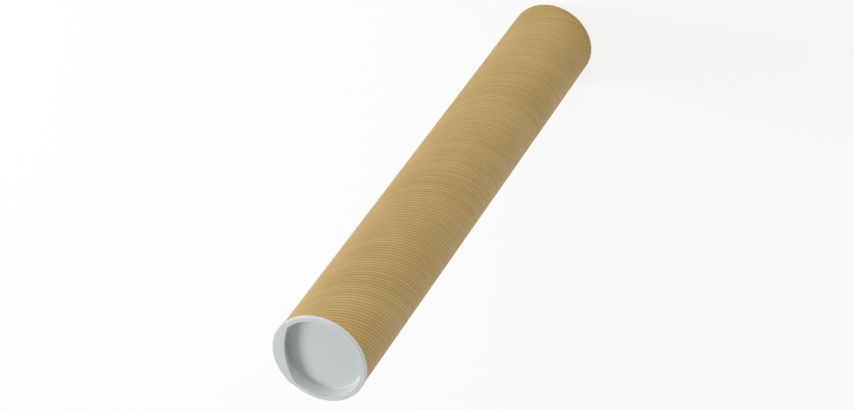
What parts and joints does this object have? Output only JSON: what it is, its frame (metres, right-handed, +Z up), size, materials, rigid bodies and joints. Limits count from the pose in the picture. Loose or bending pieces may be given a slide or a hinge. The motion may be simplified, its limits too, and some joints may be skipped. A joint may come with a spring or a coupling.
{
  "type": "cardboard mailing tube",
  "caption": "Cardboard mailing tube for rolled sheets, closed at the top by a push-in plastic cap with a pull tab and at the bottom by a plain push-in plug.",
  "frame": {"origin": "middle of the tube's bottom end, on the surface that it stands on", "axes": "+Z up the tube's axis to the cap with the tab, +X towards the tab"},
  "size_m": [0.0508, 0.0502, 0.332],
  "materials": {
    "kraft_board": "ribbed kraft paper over wound grey board, satin",
    "cap_plastic": "moulded pale grey plastic, satin"
  },
  "bodies": {
    "bottom_plug": {"bottom_plug": "cap_plastic"},
    "tube": {"tube": "kraft_board"},
    "top_cap": {"top_cap": "cap_plastic"}
  },
  "joints": [
    {"name": "tube_off_plug", "type": "slide", "parent": "bottom_plug", "child": "tube", "axis": [0, 0, 1], "range_m": [0, 0.03]},
    {"name": "cap_off_tube", "type": "slide", "parent": "tube", "child": "top_cap", "axis": [0, 0, 1], "range_m": [0, 0.03]}
  ]
}
